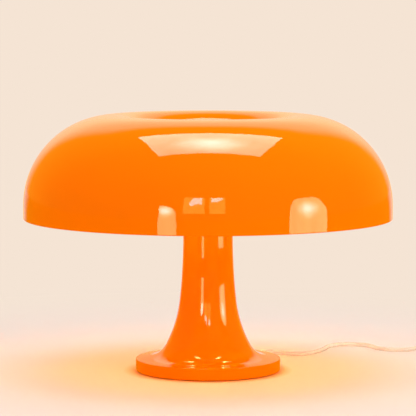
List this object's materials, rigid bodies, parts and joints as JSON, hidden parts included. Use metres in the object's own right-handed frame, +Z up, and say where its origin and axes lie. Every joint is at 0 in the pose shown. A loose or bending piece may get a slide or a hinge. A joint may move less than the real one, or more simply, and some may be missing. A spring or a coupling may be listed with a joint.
{
  "type": "table lamp",
  "caption": "Mushroom table lamp: domed shade with a hollow well in its crown, slim stem flaring to a round foot, capsule bulbs under the shade, and a clear cord with switch and plug.",
  "frame": {"origin": "bottom centre of the foot, on the surface that it stands on", "axes": "+Z up along the stem, -Y to the front, cord leaving at the rear right"},
  "size_m": [0.4646, 0.32, 0.223],
  "materials": {
    "brass": "turned",
    "cast_iron": "as cast, painted",
    "ceramic": "opaque glazed ceramic",
    "clear_cord": "clear flexible sheath over two cores",
    "cord_grip": "soft moulding",
    "cover_steel": "black lacquer",
    "frosted_glass": "frosted, lit",
    "orange_knob": "moulded, high gloss",
    "orange_plastic": "moulded, high gloss",
    "pad_rubber": "foam rubber",
    "pin_metal": "nickel plated",
    "plug_plastic": "moulded, satin gloss",
    "seat_rubber": "soft ring",
    "steel": "zinc plated",
    "switch_plastic": "moulded, satin gloss",
    "white_plastic": "moulded, satin gloss",
    "wire": "insulated wire"
  },
  "bodies": {
    "root": {"stem_base": "orange_plastic", "seat_ring": "seat_rubber", "socket_carrier": "white_plastic", "carrier_lid": "white_plastic", "carrier_nut": "steel", "carrier_washer": "steel", "threaded_rod": "steel", "ballast_weight": "cast_iron", "ballast_nut": "steel", "ballast_washer": "steel", "base_cover": "cover_steel", "cover_screws": "steel", "foot_pad": "pad_rubber", "socket_contacts": "brass", "socket_screws": "steel", "bus_wires": "wire", "crimp_sleeves": "white_plastic", "riser_wires": "wire", "terminal_block": "white_plastic", "terminal_screws": "steel", "cord_clamp": "white_plastic", "clamp_screws": "steel", "cord_bush": "cord_grip", "cord_inner": "clear_cord", "cord_run": "clear_cord", "cord_lead": "clear_cord", "cord_coil": "clear_cord", "cord_end": "clear_cord", "switch_lower_shell": "switch_plastic", "switch_upper_shell": "switch_plastic", "rocker_pin": "steel", "switch_contacts": "brass", "switch_screws": "steel", "plug_body": "plug_plastic", "plug_pins": "pin_metal", "plug_boot": "cord_grip", "socket_1": "ceramic", "bulb_envelope_1": "frosted_glass", "bulb_base_1": "ceramic", "bulb_pins_1": "pin_metal", "socket_2": "ceramic", "bulb_envelope_2": "frosted_glass", "bulb_base_2": "ceramic", "bulb_pins_2": "pin_metal", "socket_3": "ceramic", "bulb_envelope_3": "frosted_glass", "bulb_base_3": "ceramic", "bulb_pins_3": "pin_metal", "socket_4": "ceramic", "bulb_envelope_4": "frosted_glass", "bulb_base_4": "ceramic", "bulb_pins_4": "pin_metal"},
    "shade": {"shade": "orange_plastic", "knob_washer": "steel"},
    "knob": {"shade_knob": "orange_knob", "knob_insert": "brass"},
    "rocker": {"switch_rocker": "switch_plastic"}
  },
  "joints": [
    {"name": "shade_lift", "type": "slide", "parent": "root", "child": "shade", "axis": [0, 0, 1], "range_m": [0, 0.1]},
    {"name": "knob_turn", "type": "hinge", "parent": "shade", "child": "knob", "pos_m": [0, 0, 0.1768], "axis": [0, 0, 1], "continuous": true},
    {"name": "switch_rock", "type": "hinge", "parent": "root", "child": "rocker", "pos_m": [0.249, 0.084, 0.0155], "axis": [-1, 0, 0], "range_deg": [0, 20]}
  ]
}
